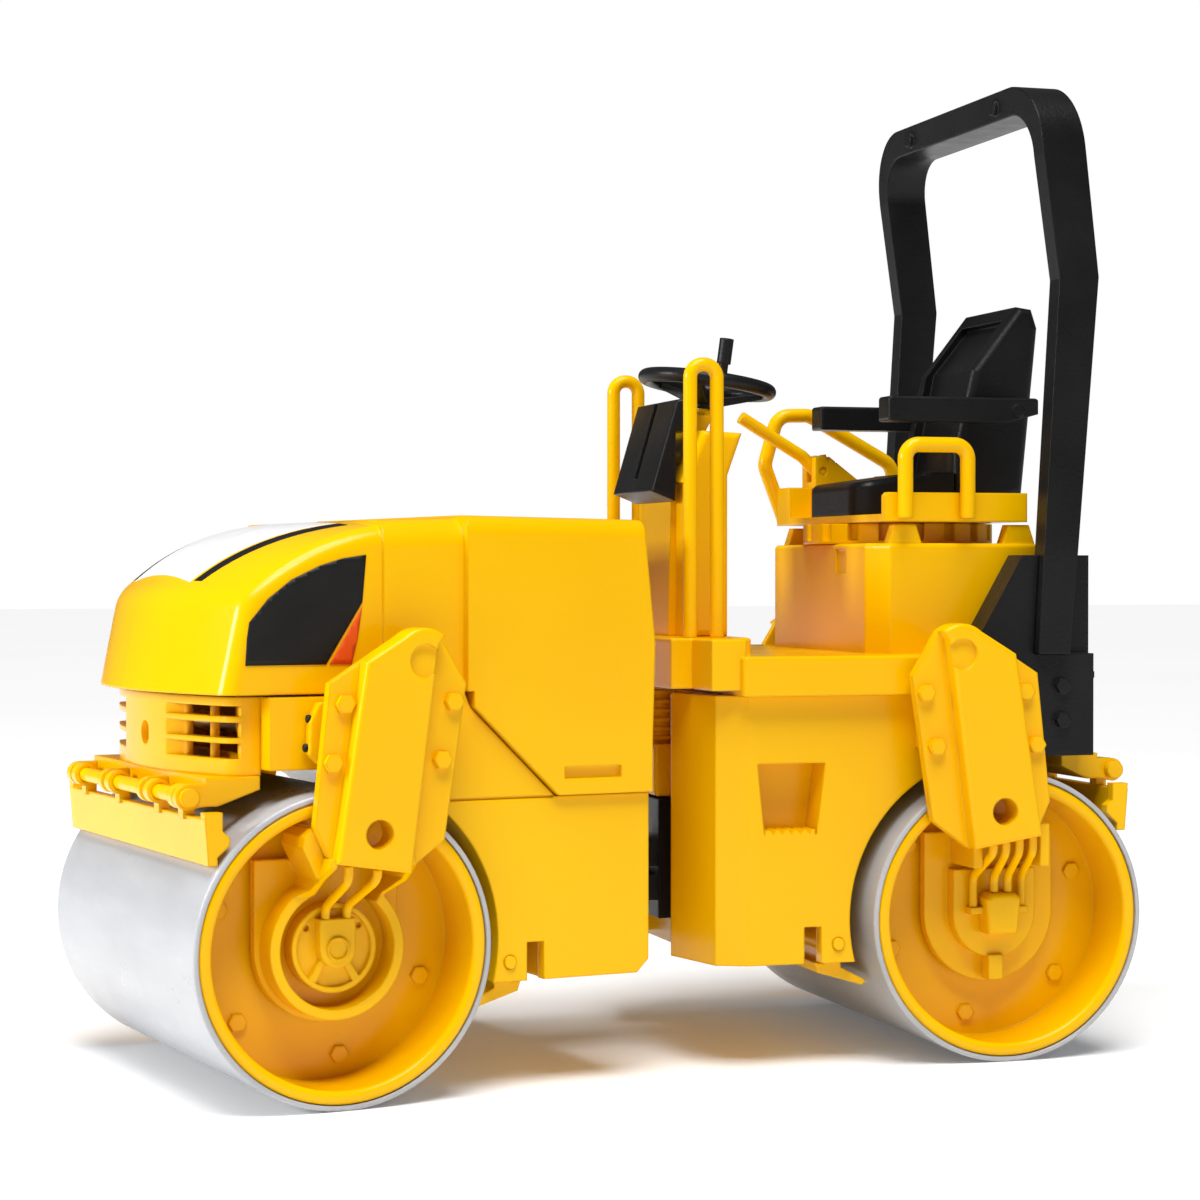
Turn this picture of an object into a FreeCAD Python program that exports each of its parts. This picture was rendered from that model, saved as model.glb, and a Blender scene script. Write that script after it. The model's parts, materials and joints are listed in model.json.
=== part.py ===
import FreeCAD, Part
import math
import os
import re

import Sketcher

# A 1:16 toy tandem road roller. Its two halves meet at a vertical steering pin, and it stands
# with the front half turned by steer_angle. Each half is drawn straight, with the pin's axis
# at X = 0, Y = 0 and the floor at Z = 0; +X points forward, +Y to the driver's left, +Z up.

SIZES = {
    # the whole machine
    "steer_angle": 10.3, "shift_x": -2.564, "shift_y": -5.76,
    "axle_x": 65.4, "axle_z": 26, "fit_gap": 0.05, "free_gap": 0.4,
    # drums
    "drum_outer": 26, "shell_wall": 0.9, "rim_wall": 2.3, "drum_half": 39, "drum_recess": 12,
    "disc_wall": 2, "screw_tall": 0.7, "rim_inner_end": 8, "drum_screw_ring": 19, "axle_outer": 2.5,
    "axle_half": 32.4,
    # arms and hub plates
    "arm_inner": 40, "arm_flange": 42, "arm_face": 45, "arm_top_x": 53.8, "arm_top_z": 73.3,
    "arm_top_round": 5.4, "arm_front_x": 69.4, "arm_front_z": 69.8, "arm_back_x": 45.4,
    "arm_back_z": 69.4, "arm_low_front_x": 71.9, "arm_low_front_z": 46.8, "arm_foot_x": 69.2,
    "arm_foot_z": 40.9, "arm_heel_x": 56.2, "arm_heel_z": 38.8, "arm_low_back_x": 49.3,
    "arm_low_back_z": 43.8, "rib_front_x": 64.1, "rib_back_x": 51.4, "tie_hole_x": 61.9,
    "tie_hole_z": 45.4, "tie_hole": 2.4, "hub_low": 28, "hub_high": 30, "hub_round": 12.6,
    "ring_outer": 11.7, "ring_inner": 10, "ring_high": 35.2, "neck_half": 7.4,
    "neck_wall": 1.8, "neck_top": 16.6, "neck_rise": 14.6, "bolt_corner": 1.65, "bolt_tall": 1.2, "hose_round": 0.75,
    # front chassis and grille
    "body_half": 35, "rear_wall_x": 7.5, "floor_z": 18.5, "seam_z": 49.6, "shelf_z": 67.4,
    "arch_round": 29, "bay_floor_z": 57.5, "chassis_front_x": 77, "bay_wall": 2.5,
    "grille_x": 87.3, "grille_half": 30.5, "grille_low_z": 54.5, "nose_round": 85,
    "grille_wall": 1.7, "flap_pin_x": 34.2, "flap_pin_z": 21.8, "flap_pin": 1.1,
    # hood
    "hood_half": 34, "band_half": 34.6, "box_half": 36.2, "nose_axis_x": 6, "nose_low_z": 67.8,
    "cheek_round": 85.1, "cheek_z": 81.4, "brow_x": 57, "brow_z": 96.2, "box_front_x": 42.5,
    "hood_top_z": 96.8, "hood_wall": 1.6, "hood_pivot_x": 75, "hood_pivot_z": 62,
    "hood_pin": 1.5, "hood_ear": 20, "slot_x": 19, "slot_z": 53.6,
    # scrapers
    "rod_x": 89.6, "rod_z": 51.4, "rod_round": 1.25, "rod_half": 31.3, "lug_round": 2.1,
    "blade_half": 38.3, "blade_low_z": 40.9, "blade_top_z": 48.4, "blade_wall": 1.6,
    # steering joint
    "pin_round": 3, "yoke_round": 6.5, "yoke_half": 8,
    # rear body
    "rear_front_x": 17.3, "rear_cut_x": 60, "rear_end_x": 79, "deck_z": 66, "deck_top_z": 73,
    "deck_half": 38, "deck_front_x": 15.3, "block_top_z": 76, "step_half_x": 6.2,
    # console
    "console_half": 14.5, "console_back_x": 20.8, "console_front_x": 11, "loop_y": 23.6,
    "loop_top_z": 126.1, "loop_front_x": 10.3, "loop_back_x": 15.3, "rail_round": 1.25,
    "wheel_x": 21.5, "wheel_z": 122.9, "wheel_tilt": 8, "wheel_ring": 11.7,
    "wheel_grip": 1.35, "stub_round": 1.2,
    # seat
    "tank_front_x": 43.8, "tank_back_x": 76, "tank_half": 28, "tank_top_z": 93,
    "turn_x": 60, "turn_round": 18, "turn_top_z": 96.8, "tray_front_x": 45.8,
    "tray_back_x": 74, "tray_low_z": 96.9, "tray_top_z": 98.3, "tray_wall_z": 102.2,
    "pad_half": 13, "pad_front_x": 46.2, "pad_back_x": 66, "arm_pivot_x": 76,
    "arm_pivot_z": 117.8, "rest_inner": 14.6, "rest_outer": 20, "rest_low_z": 115.6,
    "rest_high_z": 120.2, "rest_front_x": 50,
    # roll-over hoop and rear panel
    "hoop_outer": 38.5, "hoop_inner": 34.4, "hoop_top_z": 176.6, "hoop_bar_z": 171.4,
    "hoop_low_z": 73, "hoop_kink_z": 140.5, "panel_half": 36.5, "panel_inner": 30.2,
    "panel_low_z": 54.5, "panel_top_z": 90.8, "panel_back_x": 83.2,
}

doc = FreeCAD.newDocument("road_roller")
sheet = doc.addObject("Spreadsheet::Sheet", "dims")
for row, (alias, size) in enumerate(SIZES.items(), start=1):
    sheet.set("A%d" % row, alias)
    sheet.set("B%d" % row, str(size))
    sheet.setAlias("B%d" % row, alias)
doc.recompute()

ORIGIN_PLANE = {"side": "XZ_Plane", "top": "XY_Plane", "end": "YZ_Plane"}
NORMAL = {"side": "y", "top": "z", "end": "x"}
UP = FreeCAD.Vector(0, 0, 1)
parts = []


def bound(text):
    """The same formula with every alias turned into a reference to its cell."""
    def cell(word):
        return "dims." + word.group(0) if word.group(0) in SIZES else word.group(0)
    return re.sub(r"[a-z_]+", cell, str(text))


def number(text):
    return float(sheet.evalExpression(bound(text)))


def fix(sketch, kind, place, text):
    """Add one driving constraint and bind it to its formula."""
    index = sketch.addConstraint(Sketcher.Constraint(kind, *place, number(text)))
    sketch.setExpression("Constraints[%d]" % index, bound(text))


def draw(sketch, outline):
    """Draw a circle (x, y, "round", radius), or a closed outline of (x, y) corners. A corner
    (x, y, radius) starts an arc of that radius to the next corner, bulging to the right."""
    if len(outline) == 4 and outline[2] == "round":
        across, along, _, radius = outline
        middle = FreeCAD.Vector(number(across), number(along), 0)
        sketch.addGeometry(Part.Circle(middle, UP, number(radius)), False)
        fix(sketch, "Radius", (0,), radius)
        fix(sketch, "DistanceX", (-1, 1, 0, 3), across)
        fix(sketch, "DistanceY", (-1, 1, 0, 3), along)
        return
    corners = [FreeCAD.Vector(number(c[0]), number(c[1]), 0) for c in outline]
    starts, ends = [], []
    for i, corner in enumerate(corners):
        target = corners[(i + 1) % len(corners)]
        if len(outline[i]) == 2:
            sketch.addGeometry(Part.LineSegment(corner, target), False)
            starts.append(1)
            ends.append(2)
            continue
        radius = number(outline[i][2])
        chord = target - corner
        rise = math.sqrt(max(radius ** 2 - chord.Length ** 2 / 4, 0))
        side = FreeCAD.Vector(-chord.y, chord.x, 0).normalize()
        centre = (corner + target) * 0.5 + side * rise
        middle = centre - side * radius
        sketch.addGeometry(Part.Arc(corner, middle, target), False)
        arc = sketch.Geometry[i]
        forward = (arc.StartPoint - corner).Length < (arc.EndPoint - corner).Length
        starts.append(1 if forward else 2)
        ends.append(2 if forward else 1)
    for i in range(len(corners)):
        following = (i + 1) % len(corners)
        joined = Sketcher.Constraint("Coincident", i, ends[i], following, starts[following])
        sketch.addConstraint(joined)
    for i, corner in enumerate(outline):
        fix(sketch, "DistanceX", (-1, 1, i, starts[i]), corner[0])
        fix(sketch, "DistanceY", (-1, 1, i, starts[i]), corner[1])
        if len(corner) == 3:
            following = outline[(i + 1) % len(outline)]
            chord = corners[(i + 1) % len(corners)] - corners[i]
            if chord.Length < 1.999 * number(corner[2]):
                fix(sketch, "Radius", (i,), corner[2])
            elif abs(chord.x) > abs(chord.y):
                fix(sketch, "DistanceY", (-1, 1, i, 3), "(%s + %s) / 2" % (corner[1], following[1]))
            else:
                fix(sketch, "DistanceX", (-1, 1, i, 3), "(%s + %s) / 2" % (corner[0], following[0]))


def sketch_on(body, plane, level, outline):
    sketch = body.newObject("Sketcher::SketchObject", body.Name + "_sketch")
    role = ORIGIN_PLANE[plane]
    origin_plane = next(f for f in body.Origin.OriginFeatures if f.Role == role)
    sketch.AttachmentSupport = [(origin_plane, "")]
    sketch.MapMode = "FlatFace"
    sign = "-" if plane == "side" else ""
    sketch.setExpression("AttachmentOffset.Base.z", bound("%s(%s)" % (sign, level)))
    draw(sketch, outline)
    return sketch


def pad(body, plane, low, high, outline):
    """Add the outline between two levels along the plane's axis."""
    start = high if plane == "side" else low
    feature = body.newObject("PartDesign::Pad", body.Name + "_pad")
    feature.Profile = sketch_on(body, plane, start, outline)
    feature.setExpression("Length", bound("(%s) - (%s)" % (high, low)))
    return feature


def cut(body, plane, low, high, outline):
    """Remove the outline between two levels along the plane's axis."""
    start = low if plane == "side" else high
    feature = body.newObject("PartDesign::Pocket", body.Name + "_pocket")
    feature.Profile = sketch_on(body, plane, start, outline)
    feature.setExpression("Length", bound("(%s) - (%s)" % (high, low)))
    return feature


def both_sides(action, body, plane, low, high, outline):
    """Do the same on the left and on the right of the machine."""
    action(body, plane, low, high, outline)
    action(body, plane, "-(%s)" % high, "-(%s)" % low, outline)


def box_outline(low_a, low_b, high_a, high_b):
    return [(low_a, low_b), (high_a, low_b), (high_a, high_b), (low_a, high_b)]


def new_body(name):
    return doc.addObject("PartDesign::Body", name)


def block(name, x_low, x_high, y_low, y_high, z_low, z_high):
    body = new_body(name)
    pad(body, "top", z_low, z_high, box_outline(x_low, y_low, x_high, y_high))
    return body


def round_edges(body, radius, chosen):
    """Fillet the edges of the body's tip for which chosen(edge) is true."""
    doc.recompute()
    tip = body.Tip
    names = ["Edge%d" % (i + 1) for i, edge in enumerate(tip.Shape.Edges) if chosen(edge)]
    if not names:
        raise ValueError("no edge to round on " + body.Name)
    feature = body.newObject("PartDesign::Fillet", body.Name + "_fillet")
    feature.Base = (tip, names)
    feature.setExpression("Radius", bound(radius))


def spans(edge, axis):
    """True when the edge runs along the axis."""
    box = edge.BoundBox
    lengths = {"x": box.XLength, "y": box.YLength, "z": box.ZLength}
    return lengths[axis] > 0.1 and all(v < 0.01 for k, v in lengths.items() if k != axis)


def spun(name, outline):
    """A full turn of an outline of (radius, height) corners about the body's own Z axis."""
    body = new_body(name)
    feature = body.newObject("PartDesign::Revolution", name + "_turn")
    feature.Profile = sketch_on(body, "side", "0", outline)
    feature.ReferenceAxis = (feature.Profile[0], ["V_Axis"])
    feature.Angle = 360
    return body


def at_level(edge, axis, text, reach=0.05):
    """True when the whole edge lies at one level of the axis."""
    box = edge.BoundBox
    low, high = {"x": (box.XMin, box.XMax), "y": (box.YMin, box.YMax),
                 "z": (box.ZMin, box.ZMax)}[axis]
    level = number(text)
    return abs(low - level) < reach and abs(high - level) < reach


AXIS_TURN = {"z": FreeCAD.Rotation(), "y": FreeCAD.Rotation(FreeCAD.Vector(1, 0, 0), -90),
             "x": FreeCAD.Rotation(FreeCAD.Vector(0, 1, 0), 90)}


def at(solid, where, axis="z"):
    """Stand a primitive on a point, with its own Z along the axis."""
    solid.Placement.Rotation = AXIS_TURN[axis]
    for name, text in zip("xyz", where):
        solid.setExpression("Placement.Base." + name, bound(text))
    return solid


def rod(name, radius, length, where, axis="z"):
    solid = doc.addObject("Part::Cylinder", name)
    solid.setExpression("Radius", bound(radius))
    solid.setExpression("Height", bound(length))
    return at(solid, where, axis)


def hexagon(name, corner, length, where, axis="z"):
    solid = doc.addObject("Part::Prism", name)
    solid.Polygon = 6
    solid.setExpression("Circumradius", bound(corner))
    solid.setExpression("Height", bound(length))
    return at(solid, where, axis)


def fuse(name, solids):
    joined = doc.addObject("Part::MultiFuse", name)
    joined.Shapes = solids
    return joined


def less(name, base, tool):
    remainder = doc.addObject("Part::Cut", name)
    remainder.Base = base
    remainder.Tool = tool
    return remainder


def common(name, one, other):
    shared = doc.addObject("Part::Common", name)
    shared.Base = one
    shared.Tool = other
    return shared


def group(name, solids):
    """Identical loose pieces kept as separate solids of one node."""
    bundle = doc.addObject("Part::Compound", name)
    bundle.Links = solids
    return bundle


def mirrored(name, source, normal):
    image = doc.addObject("Part::Mirroring", name)
    image.Source = source
    image.Normal = FreeCAD.Vector(*normal)
    return image


def bent_tube(name, radius, bend, points):
    """A round tube along straight runs joined by arcs of one bend radius."""
    stops = [FreeCAD.Vector(*(number(value) for value in point)) for point in points]
    edges, start = [], stops[0]
    for before, corner, after in zip(stops, stops[1:], stops[2:]):
        inward = (before - corner).normalize()
        outward = (after - corner).normalize()
        half = inward.getAngle(outward) / 2
        trim = number(bend) / math.tan(half)
        first, last = corner + inward * trim, corner + outward * trim
        reach = number(bend) / math.sin(half) - number(bend)
        middle = corner + (inward + outward).normalize() * reach
        edges.append(Part.LineSegment(start, first).toShape())
        edges.append(Part.Arc(first, middle, last).toShape())
        start = last
    edges.append(Part.LineSegment(start, stops[-1]).toShape())
    spine = Part.Wire(edges)
    ring = Part.Wire(Part.Circle(stops[0], stops[1] - stops[0], number(radius)).toShape())
    feature = doc.addObject("Part::Feature", name)
    feature.Shape = spine.makePipeShell([ring], True, False)
    return feature


def keep(node, feature, half):
    """Give a finished piece its node name and stand it on its half of the machine."""
    feature.Label = node
    turn = {"front": "steer_angle", "rear": "0", "rear_turned": "180"}[half]
    feature.Placement.Rotation.Axis = UP
    feature.setExpression("Placement.Rotation.Angle", bound(turn))
    feature.setExpression("Placement.Base.x", bound("shift_x"))
    feature.setExpression("Placement.Base.y", bound("shift_y"))
    parts.append((node, feature))


# ---------------------------------------------------------------- drums
def make_drum(half, turned):
    """A grey shell on two yellow cups, screwed on, with a steel axle through both."""
    core = "drum_outer - shell_wall"
    shell = new_body(half + "_shell")
    pad(shell, "side", "-drum_half", "drum_half", ("axle_x", "axle_z", "round", "drum_outer"))
    cut(shell, "side", "-drum_half", "drum_half", ("axle_x", "axle_z", "round", core))
    round_edges(shell, "shell_wall / 2", lambda e: at_level(e, "y", "drum_half")
                and e.Curve.Radius > number("drum_outer - 0.1"))
    round_edges(shell, "shell_wall / 2", lambda e: at_level(e, "y", "-drum_half")
                and e.Curve.Radius > number("drum_outer - 0.1"))
    keep(half + "_drum_shell", shell, turned)

    face, back = "drum_half - drum_recess", "drum_half - drum_recess - disc_wall"
    cup = new_body(half + "_cup")
    rim = "(%s - fit_gap)" % core
    pad(cup, "side", "rim_inner_end", "drum_half", ("axle_x", "axle_z", "round", rim))
    bore = ("axle_x", "axle_z", "round", "%s - rim_wall" % rim)
    cut(cup, "side", face, "drum_half", bore)
    cut(cup, "side", "rim_inner_end", back, bore)
    cut(cup, "side", back, face, ("axle_x", "axle_z", "round", "axle_outer + fit_gap"))
    round_edges(cup, "rim_wall * 0.4", lambda e: at_level(e, "y", "drum_half"))
    keep(half + "_drum_cup_left", group(half + "_cup_near", [cup]), turned)
    keep(half + "_drum_cup_right", mirrored(half + "_cup_image", cup, (0, 1, 0)), turned)

    heads = []
    for count in range(6):
        turn = math.radians(60 * count + 20)
        x = "axle_x + drum_screw_ring * %.6f" % math.cos(turn)
        z = "axle_z + drum_screw_ring * %.6f" % math.sin(turn)
        for level in (face, "-(%s) - screw_tall" % face):
            heads.append(hexagon(half + "_head", "bolt_corner", "screw_tall", (x, level, z), "y"))
    keep(half + "_drum_screws", group(half + "_heads", heads), turned)

    axle = rod(half + "_axle_rod", "axle_outer", "2 * axle_half",
               ("axle_x", "-axle_half", "axle_z"), "y")
    keep(half + "_drum_axle", group(half + "_axle", [axle]), turned)


make_drum("front", "front")
make_drum("rear", "rear_turned")


# ---------------------------------------------------------------- arms and hubs
def make_arm(name, ringed):
    """A side arm: the hub plate, a neck that widens upwards and outwards, a flange with a raised
    centre box, and a spacer to the body."""
    def near(x, z, *radius):
        return ("axle_x + (%s)" % x, "axle_z + (%s)" % z) + radius

    arm = new_body(name)
    pad(arm, "side", "hub_low", "hub_high", [
        near("-hub_round", "neck_rise"), near("-hub_round", "0", "hub_round"),
        near("hub_round", "0"), near("hub_round", "neck_rise")])
    if ringed:
        pad(arm, "side", "hub_high", "arm_face - 1", [
            near("-0.7 * ring_outer", "0.714 * ring_outer", "ring_outer"),
            near("0", "-ring_outer", "ring_outer"), near("0.48 * ring_outer", "0.877 * ring_outer"),
            near("5.3", "12"), near("4.4", "15.6"), near("-10", "15.6"), near("-10.7", "11.2")])
        cut(arm, "side", "hub_high", "arm_face - 1", [
            near("-0.67 * ring_inner", "0.742 * ring_inner", "ring_inner"),
            near("0", "-ring_inner", "ring_inner"), near("0.42 * ring_inner", "0.907 * ring_inner"),
            near("4.2", "12"), near("3.2", "15.6"), near("-8.8", "15.6"), near("-9.5", "11.6")])
        cut(arm, "end", "axle_x - 14", "axle_x + 14", [
            ("ring_high", "axle_z - 14"), ("arm_face + 1", "axle_z - 14"),
            ("arm_face + 1", "axle_z + 15.4"), ("ring_high", "axle_z + 8.8")])
        pad(arm, "side", "hub_high", "arm_inner", [
            near("3.8", "14.6"), near("5.1", "11.4"), near("7.9", "17.2"), near("7.6", "19"),
            near("6", "20.4")])
    else:
        for low, high in (("-neck_half", "-neck_half + neck_wall"),
                          ("neck_half - neck_wall", "neck_half")):
            wall = [near(low, "9"), near(high, "9"), near(high, "neck_top"), near(low, "neck_top")]
            pad(arm, "side", "hub_high", "arm_inner", wall)
        pad(arm, "side", "hub_high", "arm_inner", [
            near("-neck_half", "neck_top - 1.8"), near("neck_half", "neck_top - 1.8"),
            near("neck_half", "neck_top"), near("-neck_half", "neck_top")])
        pad(arm, "side", "hub_high", "hub_high + 2.6", [
            near("-8", "8"), near("-8", "0", "8"), near("8", "0"), near("8", "8")])
        pad(arm, "side", "hub_high", "hub_high + 3.4", [
            near("-1.4", "-12"), near("1.4", "-12"), near("1.4", "-7.5"), near("-1.4", "-7.5")])
    apex = [("arm_top_x + 3.6", "arm_top_z + 4.03", "arm_top_round"),
            ("arm_top_x - 3.6", "arm_top_z + 4.03")]
    foot = [("arm_heel_x", "arm_heel_z"), ("arm_foot_x", "arm_foot_z")]
    flange = apex + [("arm_back_x", "arm_back_z"), ("arm_low_back_x", "arm_low_back_z")]
    flange += foot + [("arm_low_front_x", "arm_low_front_z"), ("arm_front_x", "arm_front_z")]
    pad(arm, "side", "arm_inner", "arm_flange", flange)
    raised = apex + [("rib_back_x", "arm_top_z + 2.6")] + foot + [("rib_front_x", "arm_top_z")]
    pad(arm, "side", "arm_flange", "arm_face", raised)
    round_edges(arm, "0.7", lambda e: at_level(e, "y", "arm_face"))
    pad(arm, "side", "body_half", "arm_inner",
        box_outline("arm_top_x - 5", "bay_floor_z - 1", "arm_top_x + 4", "deck_z - 0.2"))
    cut(arm, "side", "hub_low", "axle_half + 0.3",
        ("axle_x", "axle_z", "round", "axle_outer + fit_gap"))
    cut(arm, "side", "arm_face - 0.8", "arm_face", ("arm_top_x", "arm_top_z", "round", "2.7"))
    cut(arm, "side", "arm_inner", "arm_face", ("tie_hole_x", "tie_hole_z", "round", "tie_hole"))
    return arm


def arm_bolts(name):
    heads = []
    for x, z in (("arm_front_x - 2.5", "66.5"), ("arm_front_x - 0.4", "57"),
                 ("arm_back_x + 2.4", "66.5"), ("arm_back_x + 4.5", "57")):
        for level in ("arm_flange", "-arm_flange - bolt_tall"):
            heads.append(hexagon(name + "_head", "bolt_corner", "bolt_tall", (x, level, z), "y"))
    return group(name, heads)


def make_round_hub(name):
    """The plain bearing cap: a stepped disc with a centre boss, spokes and a hose block."""
    hub = new_body(name)
    pad(hub, "side", "hub_high", "hub_high + 3.6", ("axle_x", "axle_z", "round", "7.4"))
    cut(hub, "side", "hub_high + 2.8", "hub_high + 3.6", ("axle_x", "axle_z", "round", "6.5"))
    pad(hub, "side", "hub_high + 2.8", "hub_high + 5.2", [
        ("axle_x - 3.1", "axle_z + 5"), ("axle_x - 3.1", "axle_z", "3.1"),
        ("axle_x + 3.1", "axle_z"), ("axle_x + 3.1", "axle_z + 5")])
    pad(hub, "side", "hub_high + 5", "hub_high + 5.6", ("axle_x", "axle_z", "round", "2"))
    cut(hub, "side", "hub_high + 5.2", "hub_high + 5.6", ("axle_x", "axle_z", "round", "1.6"))
    cut(hub, "side", "hub_high", "axle_half + 0.3",
        ("axle_x", "axle_z", "round", "axle_outer + fit_gap"))
    for side in ("-", "+"):
        leg = [("axle_x %s 1.2" % side, "axle_z - 1.9"), ("axle_x %s 2.4" % side, "axle_z - 1.5"),
               ("axle_x %s 4.4" % side, "axle_z - 4.9"), ("axle_x %s 3.2" % side, "axle_z - 5.6")]
        pad(hub, "side", "hub_high + 2.8", "hub_high + 3.6", leg)
        cut(hub, "side", "hub_high + 2", "hub_high + 3.6",
            ("axle_x %s 4.6" % side, "axle_z + 3.4", "round", "0.5"))
    return hub


def make_valve_hub(name):
    """The drive motor's cover: a chamfered valve block with a pipe stub on each side."""
    low = "hub_high + 2.6"
    valve = new_body(name)
    body_outline = [("axle_x - 2.8", "axle_z - 3.4"), ("axle_x + 2.8", "axle_z - 3.4"),
                    ("axle_x + 3.4", "axle_z + 3"), ("axle_x + 2.4", "axle_z + 4"),
                    ("axle_x - 2.4", "axle_z + 4"), ("axle_x - 3.4", "axle_z + 3")]
    pad(valve, "side", low, "hub_high + 7", body_outline)
    round_edges(valve, "0.9", lambda e: at_level(e, "y", "hub_high + 7"))
    for side in ("-1", "1"):
        bar = [("axle_x + %s * 2.8" % side, "axle_z + 0.2"),
               ("axle_x + %s * 2.8" % side, "axle_z + 1.4"),
               ("axle_x + %s * 5.6" % side, "axle_z + 1.3"),
               ("axle_x + %s * 5.6" % side, "axle_z + 0.1")]
        pad(valve, "side", low, "hub_high + 5", bar)
    return valve


def make_hoses(name, runs):
    """Moulded hoses that leave the arm's underside and sweep inwards to the hub. Each run is
    the hose's offset under the arm, its offset, level and height at the hub."""
    tubes = []
    for start, end, level, height in runs:
        top = "axle_z + 14.15 + 0.16 * (%s)" % start
        tubes.append(bent_tube(name, "hose_round", "2.4", [
            ("axle_x + %s" % start, "arm_flange + 0.4", top),
            ("axle_x + %s" % start, "arm_flange + 0.4", "axle_z + 11.9"),
            ("axle_x + %s" % end, level, "axle_z + 6.9"),
            ("axle_x + %s" % end, level, "axle_z + %s" % height)]))
    return tubes


def make_hose_set(name):
    """Both hoses of the bearing side and the four of the drive side."""
    plain = make_hoses(name + "_plain", [("-4.1", "-1.9", "hub_high + 4.5", "5.02"),
                                         ("0.9", "1.9", "hub_high + 4.5", "5.02")])
    drive = make_hoses(name + "_drive", [
        ("-4.6", "-4.7", "hub_high + 3.9", "1.4"), ("-2.2", "-1.3", "hub_high + 5.4", "4.1"),
        ("0.4", "1.3", "hub_high + 5.4", "4.1"), ("3", "4.7", "hub_high + 3.9", "1.4")])
    far = [mirrored(name + "_far", tube, (0, 1, 0)) for tube in drive]
    return group(name, plain + far)


keep("front_arm_left", make_arm("arm_a", True), "front")
keep("rear_arm_right", make_arm("arm_b", True), "rear_turned")
valve_arm = make_arm("arm_c", False)
keep("front_arm_right", mirrored("arm_c_image", valve_arm, (0, 1, 0)), "front")
keep("rear_arm_left", mirrored("arm_d_image", valve_arm, (1, 0, 0)), "rear")
keep("front_arm_bolts", arm_bolts("front_bolts"), "front")
keep("rear_arm_bolts", arm_bolts("rear_bolts"), "rear_turned")
keep("front_hoses", make_hose_set("front_hose"), "front")
keep("rear_hoses", make_hose_set("rear_hose"), "rear_turned")
keep("front_bearing_cap", make_round_hub("cap_a"), "front")
keep("rear_bearing_cap", make_round_hub("cap_b"), "rear_turned")
valve_hub = make_valve_hub("valve")
keep("front_drive_motor", mirrored("valve_a", valve_hub, (0, 1, 0)), "front")
keep("rear_drive_motor", mirrored("valve_b", valve_hub, (1, 0, 0)), "rear")


# ---------------------------------------------------------------- front chassis and grille
chassis = new_body("front_body")
pad(chassis, "side", "-body_half", "body_half", [
    ("rear_wall_x", "floor_z + 2.5"), ("rear_wall_x + 2.5", "floor_z"),
    ("axle_x - 28", "floor_z"), ("axle_x - 28", "axle_z"), ("axle_x", "axle_z"),
    ("axle_x", "bay_floor_z - 2"), ("chassis_front_x", "bay_floor_z - 2"),
    ("chassis_front_x", "shelf_z"), ("box_front_x", "shelf_z"),
    ("box_front_x - 1", "shelf_z - 2.4"), ("rear_wall_x + 18.3", "seam_z"),
    ("rear_wall_x", "seam_z")])
cut(chassis, "side", "-body_half", "body_half", ("axle_x", "axle_z", "round", "arch_round"))
bay_half = "body_half - bay_wall"
cut(chassis, "side", "-(%s)" % bay_half, bay_half,
    box_outline("box_front_x + 2", "bay_floor_z", "chassis_front_x - 2", "shelf_z"))
cut(chassis, "side", "-grille_half + 2", "grille_half - 2",
    box_outline("chassis_front_x - 3", "bay_floor_z", "chassis_front_x", "shelf_z"))
both_sides(cut, chassis, "side", "body_half - 0.4", "body_half",
           box_outline("rear_wall_x + 18.6", "seam_z - 0.2", "arm_low_back_x + 4", "seam_z + 0.2"))
round_edges(chassis, "0.6", lambda e: spans(e, "z") and e.CenterOfMass.x < 10
            and abs(e.CenterOfMass.y) > 34)
flap_inner = "body_half - 2.6"
cut(chassis, "side", "-(%s)" % flap_inner, flap_inner,
    box_outline("flap_pin_x - 7", "floor_z", "axle_x - 20", "floor_z + 7.5"))
cut(chassis, "side", "-body_half", "body_half",
    box_outline("flap_pin_x - 6.4", "floor_z", "flap_pin_x - 3.2", "floor_z + 6.5"))
cut(chassis, "side", "-body_half", "body_half",
    ("flap_pin_x", "flap_pin_z", "round", "flap_pin + fit_gap"))
for side in ("", "-"):
    lug = [("hood_pivot_x - 3", "bay_floor_z - 1"), ("hood_pivot_x + 3", "bay_floor_z - 1"),
           ("hood_pivot_x + 3", "hood_pivot_z", "3"), ("hood_pivot_x - 3", "hood_pivot_z")]
    low, high = ("hood_ear + 3.4", "hood_ear + 6.4") if side == "" else (
        "-hood_ear - 6.4", "-hood_ear - 3.4")
    pad(chassis, "side", low, high, lug)
cut(chassis, "side", "-hood_ear - 7", "hood_ear + 7",
    ("hood_pivot_x", "hood_pivot_z", "round", "hood_pin"))
keep("front_chassis", chassis, "front")

fascia = new_body("fascia")
pad(fascia, "top", "grille_low_z", "shelf_z", [
    ("chassis_front_x", "-grille_half"), ("grille_x - 5.4", "-grille_half", "nose_round"),
    ("grille_x - 5.4", "grille_half"), ("chassis_front_x", "grille_half")])
round_edges(fascia, "3.4", lambda e: spans(e, "z") and e.CenterOfMass.x > number("grille_x - 7"))
inside = "grille_half - grille_wall"
cut(fascia, "top", "grille_low_z + grille_wall", "shelf_z", [
    ("chassis_front_x", "-(%s)" % inside),
    ("grille_x - 5.4 - grille_wall", "-(%s)" % inside, "nose_round - grille_wall"),
    ("grille_x - 5.4 - grille_wall", inside), ("chassis_front_x", inside)])
for low_z, high_z in (("57.3", "59.8"), ("60.7", "63.2"), ("64.2", "65.9")):
    for side in ("1", "-1"):
        vent = [("grille_x + 1", "%s * 9.6" % side),
                ("chassis_front_x + 3.3", "%s * 18" % side),
                ("chassis_front_x + 3.3", "%s * 32" % side), ("grille_x + 1", "%s * 32" % side)]
        cut(fascia, "top", low_z, high_z, vent)
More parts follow.
